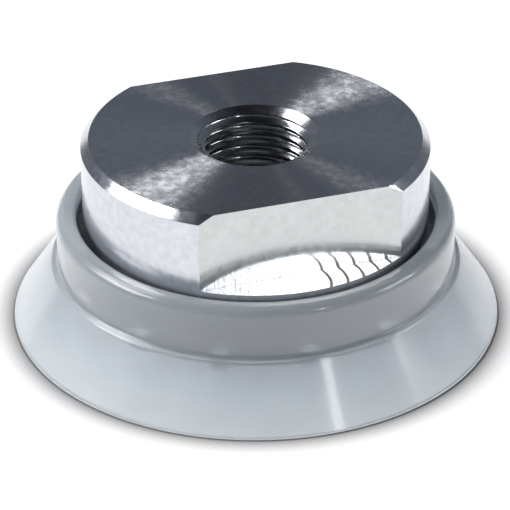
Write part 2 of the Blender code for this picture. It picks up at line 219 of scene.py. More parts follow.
def rounded(corners, steps=4):
    """An outline of (radius, height) points from (radius, height, rounding) corners. Each rounding
    is an arc that touches both sides of its corner."""
    points = []
    for index, (x, y, radius) in enumerate(corners):
        here = Vector((x, y))
        before = Vector(corners[index - 1][:2]) - here
        after = Vector(corners[(index + 1) % len(corners)][:2]) - here
        half = 0.5 * before.angle(after)
        if radius <= 0.0 or half > math.radians(89.0):
            points.append((x, y))
            continue
        reach = min(radius / math.tan(half), 0.49 * before.length, 0.49 * after.length)
        radius = reach * math.tan(half)
        start = here + before.normalized() * reach
        centre = here + (before.normalized() + after.normalized()).normalized() * (
            radius / math.sin(half)
        )
        sweep = (here + after.normalized() * reach - centre).angle_signed(start - centre)
        for step in range(steps + 1):
            arm = (start - centre).copy()
            arm.rotate(Matrix.Rotation(sweep * step / steps, 2))
            points.append(tuple(centre + arm))
    return points


def turned(outline, steps):
    """A bmesh turned about Z from an outline of (radius, height) points. An outline that starts
    and ends on the axis is left open there."""
    bm = bmesh.new()
    verts = [bm.verts.new((radius, 0.0, height)) for radius, height in outline]
    edges = [bm.edges.new(pair) for pair in zip(verts, verts[1:])]
    if outline[0][0] or outline[-1][0]:
        edges.append(bm.edges.new((verts[-1], verts[0])))
    bmesh.ops.spin(
        bm, geom=verts + edges, cent=CENTRE, axis=AXIS, angle=math.tau, steps=steps,
        use_merge=True,
    )
    bmesh.ops.remove_doubles(bm, verts=bm.verts, dist=1e-7)
    return bm


def swept(section, angle, steps, rise=0.0, start=0.0):
    """A closed section of (radius, height) points swept about Z, rising a little at each step."""
    bm = bmesh.new()
    face = bm.faces.new([bm.verts.new((radius, 0.0, height)) for radius, height in section])
    bmesh.ops.rotate(bm, verts=bm.verts, matrix=Matrix.Rotation(start, 3, "Z"))
    bmesh.ops.spin(
        bm, geom=[face], cent=CENTRE, axis=AXIS, dvec=(0.0, 0.0, rise), angle=angle, steps=steps
    )
    return bm


def round_the_axis(bm, radius, count):
    """Copy what a bmesh holds to evenly spaced places on a circle about Z."""
    original = bm.verts[:] + bm.edges[:] + bm.faces[:]
    for index in range(count):
        made = bmesh.ops.duplicate(bm, geom=original)["geom"]
        turn = Matrix.Rotation(math.tau * index / count, 4, "Z")
        bmesh.ops.transform(
            bm,
            matrix=turn @ Matrix.Translation((radius, 0.0, 0.0)),
            verts=[item for item in made if isinstance(item, bmesh.types.BMVert)],
        )
    bmesh.ops.delete(bm, geom=original, context="VERTS")
    return bm


def add_piece(name, bm):
    """Turn a bmesh into an object with its faces pointing out."""
    bmesh.ops.recalc_face_normals(bm, faces=bm.faces)
    mesh = bpy.data.meshes.new(name)
    bm.to_mesh(mesh)
    bm.free()
    piece = bpy.data.objects.new(name, mesh)
    bpy.context.scene.collection.objects.link(piece)
    return piece


def apply_modifiers(piece):
    """Make what the modifiers give the piece's own mesh."""
    graph = bpy.context.evaluated_depsgraph_get()
    before = piece.data
    after = bpy.data.meshes.new_from_object(piece.evaluated_get(graph), depsgraph=graph)
    piece.modifiers.clear()
    piece.data = after
    bpy.data.meshes.remove(before)
    after.name = piece.name


def combine(piece, bm, operation="DIFFERENCE"):
    """Cut a shape from a piece, or join it on."""
    tool = add_piece("tool", bm)
    modifier = piece.modifiers.new("combine", "BOOLEAN")
    modifier.object = tool
    modifier.operation = operation
    modifier.solver = "EXACT"
    apply_modifiers(piece)
    tool_mesh = tool.data
    bpy.data.objects.remove(tool)
    bpy.data.meshes.remove(tool_mesh)


def break_edges(piece, width, limit=30.0):
    """Round every sharp edge by a little, as deburring does."""
    modifier = piece.modifiers.new("break_edges", "BEVEL")
    modifier.width = width
    modifier.segments = 2
    modifier.limit_method = "ANGLE"
    modifier.angle_limit = math.radians(limit)
    modifier.use_clamp_overlap = True
    apply_modifiers(piece)


def smooth(piece, angle=35.0):
    """Shade a piece smooth, with sharp edges where it turns more than an angle."""
    piece.data.shade_smooth()
    piece.data.set_sharp_from_angle(angle=math.radians(angle))
    modifier = piece.modifiers.new("weighted_normals", "WEIGHTED_NORMAL")
    modifier.keep_sharp = True
    modifier.weight = 60
    apply_modifiers(piece)


def finish_piece(piece, material, body, slot, *nodes):
    """Give a piece its material, the body that it moves with and the CAD nodes it stands for."""
    piece.data.materials.clear()
    piece.data.materials.append(material)
    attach(piece, body)
    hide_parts(*nodes)
    return piece


# ---------------------------------------------------------------- materials


def new_material(name):
    """An empty Principled material. Returns the material, its nodes and links, and the shader."""
    material = bpy.data.materials.new(name)
    material.use_nodes = True
    nodes = material.node_tree.nodes
    return material, nodes, material.node_tree.links, nodes["Principled BSDF"]


def make(nodes, kind, **values):
    """Add a node. Keys are its settings or, where they match an input, its values."""
    node = nodes.new(kind)
    for key, value in values.items():
        if hasattr(node, key):
            setattr(node, key, value)
        else:
            node.inputs[key].default_value = value
    return node


def maths(nodes, links, operation, first, second=0.0):
    """A Math node on two values or sockets. Returns its output."""
    node = nodes.new("ShaderNodeMath")
    node.operation = operation
    for socket, value in zip(node.inputs, (first, second)):
        if isinstance(value, (int, float)):
            socket.default_value = value
        else:
            links.new(value, socket)
    return node.outputs[0]


def spread(nodes, links, value, low, high, start=0.0, end=1.0):
    """Map a value from one range to another."""
    node = nodes.new("ShaderNodeMapRange")
    node.inputs["From Min"].default_value = start
    node.inputs["From Max"].default_value = end
    node.inputs["To Min"].default_value = low
    node.inputs["To Max"].default_value = high
    links.new(value, node.inputs["Value"])
    return node.outputs["Result"]


def noise(nodes, links, scale, vector=None, detail=2.0, along=None):
    """A noise texture on object coordinates, or along one value. Returns its factor."""
    node = nodes.new("ShaderNodeTexNoise")
    node.inputs["Scale"].default_value = scale
    node.inputs["Detail"].default_value = detail
    if along is not None:
        node.noise_dimensions = "1D"
        links.new(along, node.inputs["W"])
    else:
        links.new(vector, node.inputs["Vector"])
    return node.outputs["Fac"]


def bump(nodes, links, shader, height, distance, strength=1.0, below=None):
    """A Bump node into the shader's normal, on top of another one if given."""
    node = nodes.new("ShaderNodeBump")
    node.inputs["Strength"].default_value = strength
    node.inputs["Distance"].default_value = distance
    links.new(height, node.inputs["Height"])
    if below is not None:
        links.new(below.outputs["Normal"], node.inputs["Normal"])
    links.new(node.outputs["Normal"], shader.inputs["Normal"])
    return node


def mix_colours(nodes, links, factor, first, second):
    """Mix two colours, or the outputs of two nodes, by a factor. Returns the output."""
    node = nodes.new("ShaderNodeMix")
    node.data_type = "RGBA"
    links.new(factor, node.inputs["Factor"])
    for socket, value in zip([item for item in node.inputs if item.type == "RGBA"],
                             (first, second)):
        if isinstance(value, bpy.types.NodeSocket):
            links.new(value, socket)
        else:
            socket.default_value = (*value, 1.0)
    return [item for item in node.outputs if item.type == "RGBA"][0]


def tint(nodes, links, shader, factor, colour_low, colour_high):
    """Mix two colours by a factor into the shader's base colour."""
    mixed = mix_colours(nodes, links, factor, colour_low, colour_high)
    links.new(mixed, shader.inputs["Base Color"])


def scaled(values, share):
    """A colour made darker or lighter by a share."""
    return [min(1.0, value * share) for value in values]


def distance_out(nodes, links, split):
    """The distance from the axis, from a Separate XYZ node on object coordinates."""
    squared = maths(
        nodes, links, "ADD",
        maths(nodes, links, "MULTIPLY", split.outputs["X"], split.outputs["X"]),
        maths(nodes, links, "MULTIPLY", split.outputs["Y"], split.outputs["Y"]),
    )
    return maths(nodes, links, "SQRT", squared)


def lathe_place(nodes, links):
    """Object coordinates and the distance along a turned profile, out and up."""
    place = nodes.new("ShaderNodeTexCoord").outputs["Object"]
    split = nodes.new("ShaderNodeSeparateXYZ")
    links.new(place, split.inputs[0])
    along = maths(nodes, links, "ADD", distance_out(nodes, links, split), split.outputs["Z"])
    return place, along


def across_the_lay(nodes, links, place, shader):
    """Point the shader's tangent across the rings that a lathe leaves."""
    around = make(nodes, "ShaderNodeVectorMath", operation="CROSS_PRODUCT")
    around.inputs[0].default_value = AXIS
    links.new(place, around.inputs[1])
    across = make(nodes, "ShaderNodeVectorMath", operation="CROSS_PRODUCT")
    links.new(nodes.new("ShaderNodeNewGeometry").outputs["Normal"], across.inputs[0])
    links.new(around.outputs[0], across.inputs[1])
    unit = make(nodes, "ShaderNodeVectorMath", operation="NORMALIZE")
    links.new(across.outputs[0], unit.inputs[0])
    links.new(unit.outputs[0], shader.inputs["Tangent"])


def turned_metal(name, base, roughness, anisotropy, groove=0.11 * MM, uneven=0.25, depth=0.6):
    """Metal from a lathe: fine rings round the axis, highlights stretched across them. The
    unevenness is how much the finish varies, and the depth is the rings' bump in microns."""
    material, nodes, links, shader = new_material(name)
    place, along = lathe_place(nodes, links)
    fine = noise(nodes, links, 1.0 / groove, along=along, detail=3.0)
    coarse = noise(nodes, links, 0.25 / groove, along=along, detail=2.0)
    mottle = noise(nodes, links, 1100.0, vector=place, detail=6.0)
    rings = maths(nodes, links, "MULTIPLY", maths(nodes, links, "ADD", fine, coarse), 0.5)
    bump(nodes, links, shader, rings, depth * 0.001 * MM)
    finish = maths(
        nodes, links, "ADD", maths(nodes, links, "MULTIPLY", rings, 0.2),
        maths(nodes, links, "MULTIPLY", mottle, 0.8),
    )
    links.new(
        spread(
            nodes, links, finish, roughness * (1.0 - uneven), roughness * (1.0 + uneven),
            0.35, 0.65,
        ),
        shader.inputs["Roughness"],
    )
    tint(
        nodes, links, shader, spread(nodes, links, finish, 0.0, 1.0, 0.35, 0.65),
        scaled(base, 1.0 - 0.5 * uneven), scaled(base, 1.0 + 0.5 * uneven),
    )
    shader.inputs["Metallic"].default_value = 1.0
    shader.inputs["Anisotropic"].default_value = anisotropy
    across_the_lay(nodes, links, place, shader)
    return material


def milled_metal(name, base, roughness, cutter, track):
    """Metal from the side of an end mill: fine upright lines, faint scratches and handling
    marks."""
    material, nodes, links, shader = new_material(name)
    place, arc = cutter_path(nodes, links, cutter, track)
    lines = noise(nodes, links, 2600.0, along=arc, detail=3.0)
    mottle = noise(nodes, links, 1100.0, vector=place, detail=6.0)
    scratches = scratch_lines(nodes, links, place)
    height = maths(
        nodes, links, "SUBTRACT", maths(nodes, links, "ADD", lines, mottle), scratches
    )
    bump(nodes, links, shader, height, 0.004 * MM)
    links.new(
        spread(nodes, links, mottle, roughness * 0.7, roughness * 1.4, 0.3, 0.7),
        shader.inputs["Roughness"],
    )
    worn = maths(
        nodes, links, "SUBTRACT", spread(nodes, links, mottle, 0.0, 1.0, 0.3, 0.7),
        maths(nodes, links, "MULTIPLY", scratches, 0.7),
    )
    tint(nodes, links, shader, worn, scaled(base, 0.94), scaled(base, 1.06))
    shader.inputs["Metallic"].default_value = 1.0
    return material


def ledge_metal(name, base, roughness, cutter, track, chatter, first_mark):
    """Metal from the end of the mill: arcs of the cutter's radius, with a few deep marks where
    the cutter left the work, tinted near black as painted shade."""
    material, nodes, links, shader = new_material(name)
    place, arc = cutter_path(nodes, links, cutter, track)
    lines = noise(nodes, links, 2600.0, along=arc, detail=3.0)
    turn = maths(
        nodes, links, "MULTIPLY", maths(nodes, links, "SUBTRACT", arc, first_mark),
        math.tau / chatter,
    )
    pulse = spread(nodes, links, maths(nodes, links, "COSINE", turn), 0.0, 1.0, 0.84, 0.96)
    leaving = spread(nodes, links, arc, 0.0, 1.0, 0.8 * first_mark, first_mark)
    marks = maths(nodes, links, "MULTIPLY", pulse, leaving)
    lay = maths(nodes, links, "SUBTRACT", lines, maths(nodes, links, "MULTIPLY", marks, 2.0))
    bump(nodes, links, shader, lay, 0.008 * MM)
    mottle = noise(nodes, links, 1500.0, vector=place, detail=5.0)
    links.new(
        spread(nodes, links, mottle, roughness * 0.75, roughness * 1.3, 0.3, 0.7),
        shader.inputs["Roughness"],
    )
    # Painted shade: the deep cutter marks are tinted near black, on top of their bump.
    tint(nodes, links, shader, marks, base, scaled(base, 0.12))
    shader.inputs["Metallic"].default_value = 1.0
    return material


def cutter_path(nodes, links, cutter, track):
    """Object coordinates, and how far along X a point lies past the cutter's edge. The cutter's
    middle runs along X at the track's distance from the axis."""
    place = nodes.new("ShaderNodeTexCoord").outputs["Object"]
    split = nodes.new("ShaderNodeSeparateXYZ")
    links.new(place, split.inputs[0])
    offset = maths(
        nodes, links, "SUBTRACT", maths(nodes, links, "ABSOLUTE", split.outputs["Y"]), track
    )
    inside = maths(
        nodes, links, "SUBTRACT", cutter**2, maths(nodes, links, "MULTIPLY", offset, offset)
    )
    edge = maths(nodes, links, "SQRT", maths(nodes, links, "MAXIMUM", inside, 0.0))
    behind = maths(nodes, links, "SUBTRACT", cutter, edge)
    return place, maths(nodes, links, "ADD", split.outputs["X"], behind)


def scratch_lines(nodes, links, place):
    """A few thin slanted scratches on the flats, 1 on a scratch and 0 beside it."""
    slant = make(nodes, "ShaderNodeMapping")
    links.new(place, slant.inputs["Vector"])
    slant.inputs["Rotation"].default_value = (0.0, math.radians(-38.0), 0.0)
    slant.inputs["Scale"].default_value = (40.0, 40.0, 900.0)
    streaks = noise(nodes, links, 1.0, vector=slant.outputs["Vector"], detail=1.0)
    return spread(nodes, links, streaks, 0.0, 1.0, 0.62, 0.69)


def clear_silicone(name, base, thick_from, mouth, rim):
    """Translucent moulded silicone: milky, glossy from a polished mould, faintly cloudy, with
    painted light that makes it paler towards the thin lip. The gap inside the collar's mouth,
    below its rim, carries painted shade."""
    material, nodes, links, shader = new_material(name)
    place = nodes.new("ShaderNodeTexCoord").outputs["Object"]
    split = nodes.new("ShaderNodeSeparateXYZ")
    links.new(place, split.inputs[0])
    height = split.outputs["Z"]
    cloud = noise(nodes, links, 160.0, vector=place, detail=4.0)
    grain = noise(nodes, links, 3000.0, vector=place, detail=2.0)
    # Painted light: the colour grows paler towards the thin lip, standing in for light let through
    # the thin silicone; the cloud adds random tone.
    thin = spread(nodes, links, height, 1.0, 0.0, 0.0, thick_from)
    pale = maths(
        nodes, links, "ADD", thin, spread(nodes, links, cloud, -0.12, 0.12, 0.3, 0.7)
    )
    lip_lit_colour = mix_colours(nodes, links, pale, base, scaled(base, 1.33))
    # Painted shade: inside the collar's mouth, below its rim and above the web, the colour is
    # drawn near black.
    inside = spread(
        nodes, links, distance_out(nodes, links, split), 1.0, 0.0, mouth + 0.05 * MM,
        mouth + 0.3 * MM,
    )
    above_web = spread(nodes, links, height, 0.0, 1.0, thick_from, thick_from + 0.5 * MM)
    below_rim = spread(nodes, links, height, 1.0, 0.0, rim - 1.1 * MM, rim - 0.7 * MM)
    painted_gap_shade = maths(
        nodes, links, "MULTIPLY", inside, maths(nodes, links, "MULTIPLY", above_web, below_rim)
    )
    tint(nodes, links, shader, painted_gap_shade, lip_lit_colour, scaled(base, 0.12))
    links.new(spread(nodes, links, grain, 0.16, 0.22, 0.3, 0.7), shader.inputs["Roughness"])
    bump(nodes, links, shader, grain, 0.0006 * MM)
    shader.inputs["Subsurface Weight"].default_value = 0.7
    shader.inputs["Subsurface Radius"].default_value = (1.0, 1.05, 1.15)
    shader.inputs["Subsurface Scale"].default_value = 2.5 * MM
    shader.inputs["Transmission Weight"].default_value = 0.5
    shader.inputs["IOR"].default_value = 1.41
    shader.inputs["Coat Weight"].default_value = 0.35
    shader.inputs["Coat Roughness"].default_value = 0.07
    return material


def light_table(name, base, glow, shade_reach):
    """A plain matt floor that is also lit from below. Seen directly, it carries a painted contact
    shadow, darker where the cup stands close to it."""
    material, nodes, links, shader = new_material(name)
    shader.inputs["Base Color"].default_value = (*base, 1.0)
    shader.inputs["Emission Color"].default_value = (*glow, 1.0)
    # Painted contact shadow: for camera rays the floor's glow is dimmed by ambient occlusion near
    # the cup.
    near = make(nodes, "ShaderNodeAmbientOcclusion", samples=16)
    near.inputs["Distance"].default_value = shade_reach
    shade = spread(nodes, links, near.outputs["AO"], 0.0, 1.15, 0.74, 1.0)
    seen = nodes.new("ShaderNodeLightPath").outputs["Is Camera Ray"]
    unseen = maths(nodes, links, "SUBTRACT", 1.0, seen)
    links.new(maths(nodes, links, "MAXIMUM", shade, unseen), shader.inputs["Emission Strength"])
    shader.inputs["Roughness"].default_value = 0.9
    shader.inputs["Specular IOR Level"].default_value = 0.1
    return material


# ---------------------------------------------------------------- pieces


def female_thread(sizes):
    """The helical groove of the bore's right-hand thread, with a rounded root. Its flanks are
    flatter than the standard's, so that they catch the light."""
    steps_per_turn = 96
    crest_round = 0.26 * MM
    crest = sizes.thread_minor + crest_round
    root_half = 0.1 * MM
    flank_half = root_half + (sizes.thread_major - crest) * math.tan(THREAD_FLANK_ANGLE)
    mouth = sizes.thread_minor - 0.08 * MM
    mouth_half = 0.49 * sizes.thread_pitch
    bottom = sizes.top - sizes.thread_depth
    section = rounded(
        [
            (mouth, bottom - mouth_half, 0.0),
            (crest, bottom - flank_half, crest_round),
            (sizes.thread_major, bottom - root_half, 0.2 * MM),
            (sizes.thread_major, bottom + root_half, 0.2 * MM),
            (crest, bottom + flank_half, crest_round),
            (mouth, bottom + mouth_half, 0.0),
        ],
        steps=3,
    )
    steps = math.ceil(sizes.thread_depth / sizes.thread_pitch * steps_per_turn)
    return swept(
        section,
        math.tau * steps / steps_per_turn,
        steps,
        rise=sizes.thread_pitch / steps_per_turn,
        start=THREAD_START_ANGLE,
    )


def hole_ring(bottom, top, radius, tip=0.0, steps=40):
    """Plain holes for the clamp screws, with a conical end if asked."""
    circle = 0.5 * (SCREW_LOW.x + SCREW_HIGH.x)
    outline = [(0.0, bottom), (radius, bottom), (radius, top), (0.0, top + tip)]
    return round_the_axis(turned(outline, steps), circle, len(SCREW_NODES))


class SUCTIONCUP_OT_fitting(bpy.types.Operator):
    """Turn, mill and thread the aluminium fitting"""

    bl_idname = "suctioncup.fitting"
    bl_label = "Fitting"

    def execute(self, context):
        sizes = context.scene.fitting_sizes
        colours = context.scene.finishes
        sink_depth = (sizes.countersink - sizes.thread_minor) / math.tan(COUNTERSINK_HALF_ANGLE)
        seat = SCREEN_HIGH.z + 0.3 * MM
        seat_radius = SCREEN_HIGH.x + 0.3 * MM
        bore_end = sizes.top - sizes.bore_depth
        step = (sizes.thread_minor - sizes.passage) / math.tan(DRILL_HALF_ANGLE)
        edge = sizes.edge_break
        outline = rounded(
            [
                (sizes.radius - sizes.foot_chamfer, sizes.foot, edge),
                (sizes.radius, sizes.foot + sizes.foot_chamfer, edge),
                (sizes.radius, sizes.top - sizes.rim_chamfer, edge),
                (sizes.radius - sizes.rim_chamfer, sizes.top, edge),
                (sizes.countersink, sizes.top, edge),
                (sizes.thread_minor, sizes.top - sink_depth, 0.0),
                (sizes.thread_minor, bore_end + step, 0.0),
                (sizes.passage, bore_end, 0.0),
                (sizes.passage, seat, edge),
                (seat_radius, seat, 0.0),
                (seat_radius, sizes.foot, edge),
            ]
        )
        piece = add_piece("fitting", turned(outline, 256))
        ledge = sizes.top - sizes.flat_height
        reach = 2.0 * sizes.radius
        blocks = bmesh.new()
        for side in (-1.0, 1.0):
            place = Matrix.Translation(
                (0.0, side * 0.5 * (sizes.across_flats + reach), ledge + sizes.flat_height)
            )
            size = Matrix.Diagonal((2.0 * reach, reach, 2.0 * sizes.flat_height, 1.0))
            bmesh.ops.create_cube(blocks, size=1.0, matrix=place @ size)
        combine(piece, blocks)
        break_edges(piece, 0.6 * edge)
        combine(piece, female_thread(sizes))
        hole_end = SCREW_HIGH.z + 0.3 * MM
        combine(
            piece, hole_ring(sizes.foot - MM, hole_end, sizes.tapped_hole, sizes.drill_tip)
        )
        smooth(piece)
        finish_piece(
            piece,
            turned_metal(
                "turned_aluminium", colours.aluminium, 0.20, 0.4, uneven=0.15, depth=0.3
            ),
            "fitting", "turned_aluminium", "fitting_body",
        )
        cutter = 4.7 * MM
        track = 0.5 * sizes.across_flats + 1.6 * MM
        for material in (
            turned_metal("faced_aluminium", colours.aluminium, 0.26, 1.0, uneven=0.18, depth=1.0),
            milled_metal("milled_aluminium", colours.milled, 0.16, cutter, track),
            ledge_metal(
                "milled_ledge", colours.aluminium, 0.16, cutter, track, 1.9 * MM, 2.65 * MM
            ),
            turned_metal("tapped_aluminium", colours.tapped, 0.15, 0.0, uneven=0.1, depth=0.1),
        ):
            piece.data.materials.append(material)
        half = 0.5 * sizes.across_flats
        near = 0.01 * MM
        for face in piece.data.polygons:
            middle, normal = face.center, face.normal
            if abs(middle.z - sizes.top) < near and normal.z > 0.9:
                face.material_index = 1
            elif abs(abs(middle.y) - half) < near and abs(normal.y) > 0.9:
                face.material_index = 2
            elif abs(middle.z - ledge) < near and normal.z > 0.9:
                face.material_index = 3
            elif math.hypot(middle.x, middle.y) < sizes.thread_major + near:
                face.material_index = 4
        return {"FINISHED"}


class SUCTIONCUP_OT_cup(bpy.types.Operator):
    """Mould the silicone cup with its collar, skirt, lip and cleats"""

    bl_idname = "suctioncup.cup"
    bl_label = "Silicone cup"

    def execute(self, context):
        sizes = context.scene.cup_sizes
        fitting = context.scene.fitting_sizes
        clamp = context.scene.clamp_sizes
        mouth = fitting.radius + sizes.mouth_gap
        collar = mouth + sizes.collar_wall
        pocket = fitting.radius + sizes.pocket_gap
        web_top = fitting.foot - 0.3 * MM
        web_bottom = web_top - sizes.web_thickness
        step_out = collar + sizes.step_width
        skirt_low = sizes.skirt_top - 0.3 * MM
        slope = (sizes.lip_radius - step_out) / skirt_low
        root_inner = step_out + (skirt_low - web_bottom) * slope - sizes.root_wall
        web_hole = clamp.outlet + clamp.boss_wall + 0.3 * MM
        contact = sizes.lip_radius - 0.1 * MM
        outline = rounded(
            [
                (contact - sizes.contact_width, 0.0, 0.15 * MM),
                (contact, 0.0, 0.08 * MM),
                (sizes.lip_radius, sizes.lip_edge, 0.12 * MM),
                (step_out, skirt_low, 0.5 * MM),
                (collar, sizes.skirt_top, 0.5 * MM),
                (collar, sizes.collar_top, sizes.collar_shoulder),
                (mouth, sizes.collar_top, 0.55 * MM),
                (mouth, sizes.collar_top - sizes.mouth_depth, 0.2 * MM),
                (pocket, sizes.collar_top - 1.4 * sizes.mouth_depth, 0.2 * MM),
                (pocket, web_top, 0.3 * MM),
                (web_hole, web_top, 0.1 * MM),
                (web_hole, web_bottom, 0.1 * MM),
                (root_inner, web_bottom, 0.9 * MM),
            ],
            steps=8,
        )
        piece = add_piece("silicone_cup", turned(outline, 240))
        bury = 0.5 * sizes.web_thickness
        height = web_bottom + bury - PLATE_LOW.z
        cleats = bmesh.new()
        place = Matrix.Translation((0.0, 0.0, PLATE_LOW.z + 0.5 * height))
        size = Matrix.Diagonal((sizes.cleat_length, sizes.cleat_width, height, 1.0))
        bmesh.ops.create_cube(cleats, size=1.0, matrix=place @ size)
        bmesh.ops.bevel(
            cleats, geom=cleats.edges[:], offset=0.45 * MM, segments=3, profile=0.5,
            affect="EDGES", material=-1,
        )
        middle = PLATE_HIGH.x + sizes.cleat_gap + 0.5 * sizes.cleat_length
        combine(piece, round_the_axis(cleats, middle, sizes.cleat_count), "UNION")
        hole = clamp.screw_radius + clamp.screw_gap
        combine(piece, hole_ring(web_bottom - MM, web_top + MM, hole))
        smooth(piece, 40.0)
        piece.data.materials.clear()
        piece.data.materials.append(
            clear_silicone(
                "silicone", context.scene.finishes.silicone, sizes.skirt_top, mouth,
                sizes.collar_top,
            )
        )
        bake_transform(piece)
        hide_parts("suction_cup")
        return {"FINISHED"}


class SUCTIONCUP_OT_clamp_plate(bpy.types.Operator):
    """Turn and drill the clamp plate inside the cup"""

    bl_idname = "suctioncup.clamp_plate"
    bl_label = "Clamp plate"

    def execute(self, context):
        sizes = context.scene.clamp_sizes
        low, top = PLATE_LOW.z, PLATE_LOW.z + sizes.plate_thickness
        boss = sizes.outlet + sizes.boss_wall
        edge = 0.1 * MM
        outline = rounded(
            [
                (sizes.outlet, low, 3.0 * edge),
                (PLATE_HIGH.x - sizes.plate_chamfer, low, edge),
                (PLATE_HIGH.x, low + sizes.plate_chamfer, edge),
                (PLATE_HIGH.x, top, edge),
                (boss, top, edge),
                (boss, PLATE_HIGH.z, edge),
                (sizes.outlet, PLATE_HIGH.z, edge),
            ]
        )
        piece = add_piece("clamp_disc", turned(outline, 160))
        head = 0.5 * (SCREW_HIGH.y - SCREW_LOW.y) + sizes.screw_gap
        shank = sizes.screw_radius + sizes.screw_gap
        hole = rounded(
            [
                (0.0, low - MM, 0.0),
                (head, low - MM, 0.0),
                (head, low, 0.0),
                (shank, low + head - shank, 0.1 * MM),
                (shank, top + MM, 0.0),
                (0.0, top + MM, 0.0),
            ]
        )
        circle = 0.5 * (SCREW_LOW.x + SCREW_HIGH.x)
        combine(piece, round_the_axis(turned(hole, 48), circle, len(SCREW_NODES)))
        smooth(piece)
        finish_piece(
            piece,
            turned_metal("plate_aluminium", context.scene.finishes.plate, 0.32, 0.6),
            "fitting", "plate_aluminium", "clamp_plate",
        )
        return {"FINISHED"}


class SUCTIONCUP_OT_screws(bpy.types.Operator):
    """Make the countersunk clamp screws with their hexagon sockets and threads"""

    bl_idname = "suctioncup.screws"
    bl_label = "Clamp screws"

    def execute(self, context):
        sizes = context.scene.clamp_sizes
        head = 0.5 * (SCREW_HIGH.y - SCREW_LOW.y)
        shank = sizes.screw_radius
        span = SCREW_HIGH.z - SCREW_LOW.z
        outline = rounded(
            [
                (0.0, 0.0, 0.0),
                (head, 0.0, 0.08 * MM),
                (head, 0.12 * MM, 0.05 * MM),
                (shank, head - shank + 0.12 * MM, 0.15 * MM),
                (shank, span - 0.4 * MM, 0.05 * MM),
                (shank - 0.4 * MM, span, 0.05 * MM),
                (0.0, span, 0.0),
            ]
        )
        first = add_piece("countersunk_screw", turned(outline, 64))
        socket = bmesh.new()
        bmesh.ops.create_cone(
            socket, cap_ends=True, segments=6,
            radius1=0.5 * sizes.socket_flats / math.cos(math.pi / 6.0),
            radius2=0.5 * sizes.socket_flats / math.cos(math.pi / 6.0),
            depth=2.0 * sizes.socket_depth,
        )
        combine(first, socket)
        combine(first, male_thread(sizes, span))
        break_edges(first, 0.05 * MM, 50.0)
        smooth(first)
        steel = turned_metal("stainless_steel", context.scene.finishes.steel, 0.28, 0.3)
        for index, node in enumerate(SCREW_NODES):
            low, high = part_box(node)
            centre = 0.5 * (low + high)
            piece = bpy.data.objects.new(f"countersunk_screw_{index + 1}", first.data.copy())
            context.scene.collection.objects.link(piece)
            turn = Matrix.Rotation(math.tau * index / len(SCREW_NODES), 4, "Z")
            piece.data.transform(Matrix.Translation((centre.x, centre.y, low.z)) @ turn)
            finish_piece(piece, steel, "fitting", "screw_steel", node)
        bpy.data.objects.remove(first)
        return {"FINISHED"}


def male_thread(sizes, span):
    """The helical groove along a screw's shank."""
    steps_per_turn = 24
    lap = 0.1 * MM
    depth = 0.31 * MM
    outer = sizes.screw_radius + lap
    inner = sizes.screw_radius - depth
    half = 0.04 * MM + (depth + lap) * math.tan(math.radians(30.0)) * 0.8
    start = 0.3 * span
    section = [
        (outer, start + half),
        (inner, start + 0.03 * MM),
        (inner, start - 0.03 * MM),
        (outer, start - half),
    ]
    turns = (span - start) / sizes.screw_pitch + 0.5
    steps = math.ceil(turns * steps_per_turn)
    return swept(
        section, math.tau * steps / steps_per_turn, steps,
        rise=sizes.screw_pitch / steps_per_turn, start=math.radians(2.0),
    )


class SUCTIONCUP_OT_strainer(bpy.types.Operator):
    """Weave the strainer and crimp its rim"""

    bl_idname = "suctioncup.strainer"
    bl_label = "Strainer"

    def execute(self, context):
        sizes = context.scene.clamp_sizes
        middle = 0.5 * (SCREEN_LOW.z + SCREEN_HIGH.z)
        radius = SCREEN_HIGH.x
        reach = radius - 0.5 * sizes.rim_width
        count = int(reach / sizes.wire_pitch)
        wires = bmesh.new()
        for across in (False, True):
            for index in range(-count, count + 1):
                add_wire(wires, sizes, index, across, reach, middle)
        rim = turned(
            rounded(
                [
                    (radius - sizes.rim_width, SCREEN_LOW.z, 0.1 * MM),
                    (radius, SCREEN_LOW.z, 0.1 * MM),
                    (radius, SCREEN_HIGH.z, 0.1 * MM),
                    (radius - sizes.rim_width, SCREEN_HIGH.z, 0.1 * MM),
                ]
            ),
            96,
        )
        mesh = bpy.data.meshes.new("rim")
        rim.to_mesh(mesh)
        rim.free()
        wires.from_mesh(mesh)
        bpy.data.meshes.remove(mesh)
        piece = add_piece("woven_strainer", wires)
        smooth(piece, 50.0)
        steel = turned_metal("strainer_steel", context.scene.finishes.steel, 0.34, 0.0)
        finish_piece(piece, steel, "fitting", "filter_steel", "filter_screen")
        return {"FINISHED"}


